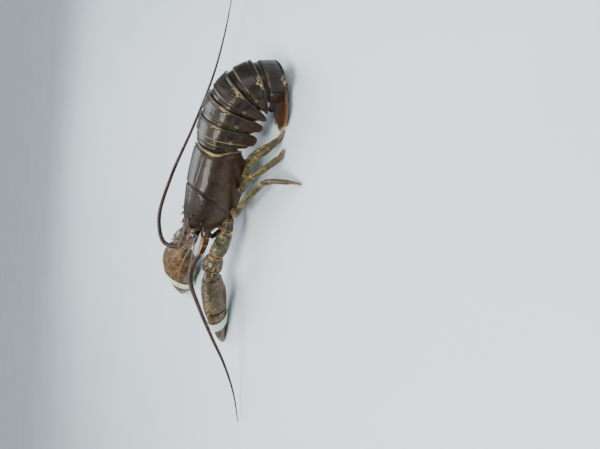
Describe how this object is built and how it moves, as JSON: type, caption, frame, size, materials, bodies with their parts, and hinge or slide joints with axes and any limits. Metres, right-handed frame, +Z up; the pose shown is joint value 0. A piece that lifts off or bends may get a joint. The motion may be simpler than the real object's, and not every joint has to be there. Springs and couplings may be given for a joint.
{
  "type": "american lobster",
  "caption": "Life-size american lobster at rest, tail curled under to one side, claws forward and held shut with rubber bands.",
  "frame": {"origin": "centre of the bounding box on the floor the animal rests on", "axes": "+Z up, head toward -Y, the animal's own left side toward +X"},
  "size_m": [0.2462, 0.4744, 0.0797],
  "materials": {
    "shell": "wet dark shell, brown to blackish olive",
    "tail_fan": "wet reddish brown shell",
    "claw": "wet mottled tan and olive shell with dark spots",
    "leg": "wet light olive shell, darker at the joints and tips",
    "underside": "pale tan underside",
    "head_limb": "wet brown shell with orange brown spine tips",
    "feeler": "dark reddish brown, ringed",
    "eye": "black, polished and wet",
    "band": "plain pale greenish white rubber band"
  },
  "bodies": {
    "root": {"eye_left": "eye", "eye_right": "eye", "antennule_left": "feeler", "antenna_base_left": "head_limb", "antennule_right": "feeler", "antenna_base_right": "head_limb", "antenna_left_near": "feeler", "antenna_left_far": "feeler", "antenna_right_near": "feeler", "antenna_right_far": "feeler", "abdomen_1": "shell", "abdomen_2": "shell", "abdomen_3": "shell", "abdomen_4": "shell", "abdomen_5": "shell", "abdomen_6": "shell", "telson": "tail_fan", "uropod_inner_left": "tail_fan", "uropod_outer_left": "tail_fan", "uropod_inner_right": "tail_fan", "uropod_outer_right": "tail_fan", "claw_left": "claw", "claw_finger_left": "claw", "band_left": "band", "claw_wrist_left": "claw", "claw_arm_left": "claw", "claw_hip_left": "claw", "claw_right": "claw", "claw_finger_right": "claw", "band_right": "band", "claw_wrist_right": "claw", "claw_arm_right": "claw", "claw_hip_right": "claw", "leg_1_upper_left": "leg", "leg_1_lower_left": "leg", "leg_2_upper_left": "leg", "leg_2_lower_left": "leg", "leg_3_upper_left": "leg", "leg_3_lower_left": "leg", "leg_4_upper_left": "leg", "leg_4_lower_left": "leg", "leg_1_upper_right": "leg", "leg_1_lower_right": "leg", "leg_2_upper_right": "leg", "leg_2_lower_right": "leg", "leg_3_upper_right": "leg", "leg_3_lower_right": "leg", "leg_4_upper_right": "leg", "leg_4_lower_right": "leg", "mouthpart_left": "head_limb", "mouthpart_right": "head_limb", "thorax": "underside", "carapace": "shell"}
  },
  "joints": []
}
